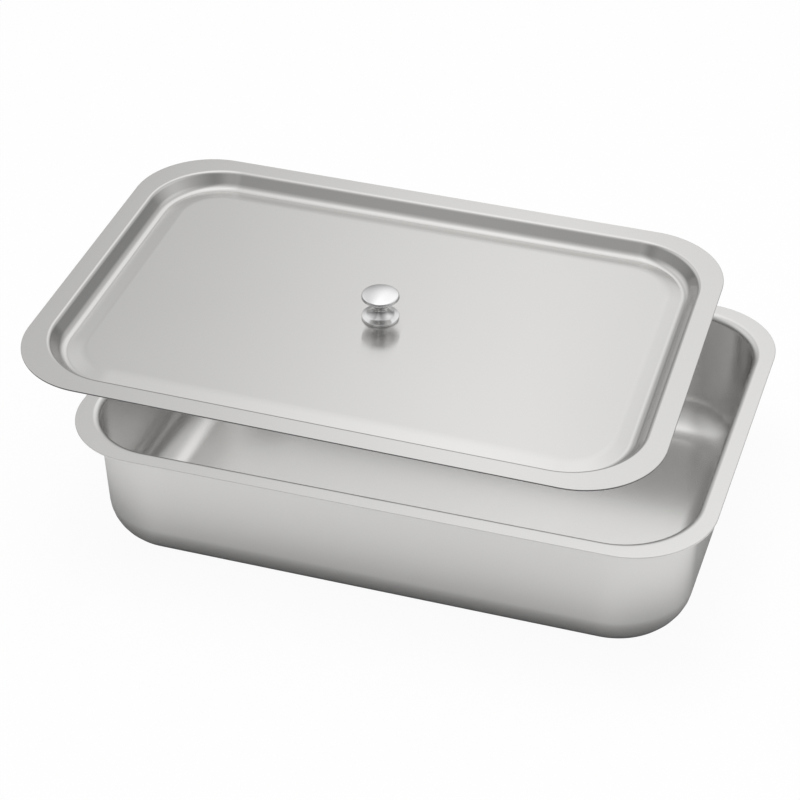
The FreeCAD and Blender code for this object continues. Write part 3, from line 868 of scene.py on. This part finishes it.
# %% A smooth curve through a few strengths
def stepped(tree, value, steps):
    """A smooth curve near (place, strength) pairs, as its output."""
    low, high = steps[0][0], steps[-1][0]
    peak = max(strength for place, strength in steps)
    curve = tree.nodes.new("ShaderNodeValToRGB")
    stops = curve.color_ramp.elements
    while len(stops) < len(steps):
        stops.new(0.5)
    for stop, (place, strength) in zip(stops, steps):
        stop.position = (place - low) / (high - low)
        stop.color = (strength / peak, strength / peak, strength / peak, 1)
    curve.color_ramp.interpolation = "B_SPLINE"
    from_low = sum_node(tree, "SUBTRACT", value, low)
    wire(tree, curve.inputs[0], sum_node(tree, "DIVIDE", from_low, high - low))
    return sum_node(tree, "MULTIPLY", curve.outputs[0], peak)


# Each list holds pairs: how far the ray points that way, and how bright it is there.
BY_HEIGHT = ((-0.1, 0.1), (0.05, 0.19), (0.3, 0.56), (0.5, 0.88), (0.65, 1.02), (0.8, 1.05),
             (0.9, 1.14), (1.0, 1.3))
BY_RIGHT = ((-1.0, 0.7), (-0.6, 0.95), (-0.45, 0.7), (-0.35, 0.69), (-0.19, 1.18), (-0.12, 0.96),
            (0.05, 1.1), (0.25, 0.72), (0.45, 0.55), (1.0, 1.2))
BY_BACK = ((-1.0, 0.4), (-0.3, 0.58), (0.2, 1.0), (1.0, 1.0))
print("sky strengths:", len(BY_HEIGHT), len(BY_RIGHT), len(BY_BACK))

# %% The sky from its three curves
world = bpy.data.worlds.new("sky")
bpy.context.scene.world = world
world.use_nodes = True
sky = world.node_tree
heading = sky.nodes.new("ShaderNodeSeparateXYZ")
sky.links.new(sky.nodes.new("ShaderNodeTexCoord").outputs["Generated"], heading.inputs[0])
by_height = stepped(sky, heading.outputs[2], BY_HEIGHT)
by_right = stepped(sky, heading.outputs[0], BY_RIGHT)
by_back = stepped(sky, heading.outputs[1], BY_BACK)
strength = sum_node(sky, "MULTIPLY", sum_node(sky, "MULTIPLY", by_height, by_right), by_back)
sky.links.new(strength, sky.nodes["Background"].inputs["Strength"])
sky.nodes["Background"].inputs["Color"].default_value = (1, 1, 1, 1)
print("sky:", len(sky.nodes), "nodes")

# %% [markdown]
# ## The lamp
# The sky does most of the lighting. One broad lamp straight above adds the faint shadow
# that keeps the tray on the floor. A sun would draw a hard one. The lamp is hidden from
# mirrored rays, so that no square of light stands in the lid.

# %% A soft lamp overhead
LAMP_PLACE = Vector((0.1, -0.1, 1.4))
LAMP_SIZE = 1.6
LAMP_WATTS = 12
light = bpy.data.lights.new("overhead", "AREA")
light.shape = "SQUARE"
light.size = LAMP_SIZE
light.energy = LAMP_WATTS
lamp = bpy.data.objects.new("overhead", light)
lamp.location = LAMP_PLACE
lamp.rotation_euler = (Vector((0, 0, 0)) - LAMP_PLACE).to_track_quat("-Z", "Y").to_euler()
lamp.visible_glossy = False
bpy.context.scene.collection.objects.link(lamp)
print("lamp:", LAMP_WATTS, "W,", LAMP_SIZE, "m across")

# %% [markdown]
# ## The camera
# A camera could be moved by eye until the picture looks right. Here its place, turn and
# lens come from a fit of the tray's rim and walls to their outline in the photograph,
# so a difference that is left is one of shape, and not one of viewpoint.

# %% The fitted camera
CAMERA_PLACE = (0.269993, -0.812093, 0.649011)
CAMERA_TURN = [math.radians(v) for v in (55.2141, 0.9817, 18.7597)]
LENS = 95.7596
SENSOR = 36
NEAREST = 0.05
FARTHEST = 50
camera_data = bpy.data.cameras.new("camera")
camera_data.sensor_width = SENSOR
camera_data.lens = LENS
camera_data.clip_start = NEAREST
camera_data.clip_end = FARTHEST
camera = bpy.data.objects.new("camera", camera_data)
camera.location = CAMERA_PLACE
camera.rotation_euler = CAMERA_TURN
bpy.context.scene.collection.objects.link(camera)
bpy.context.scene.camera = camera
bpy.context.scene.view_settings.view_transform = "Standard"
print("camera: lens", LENS, "mm")
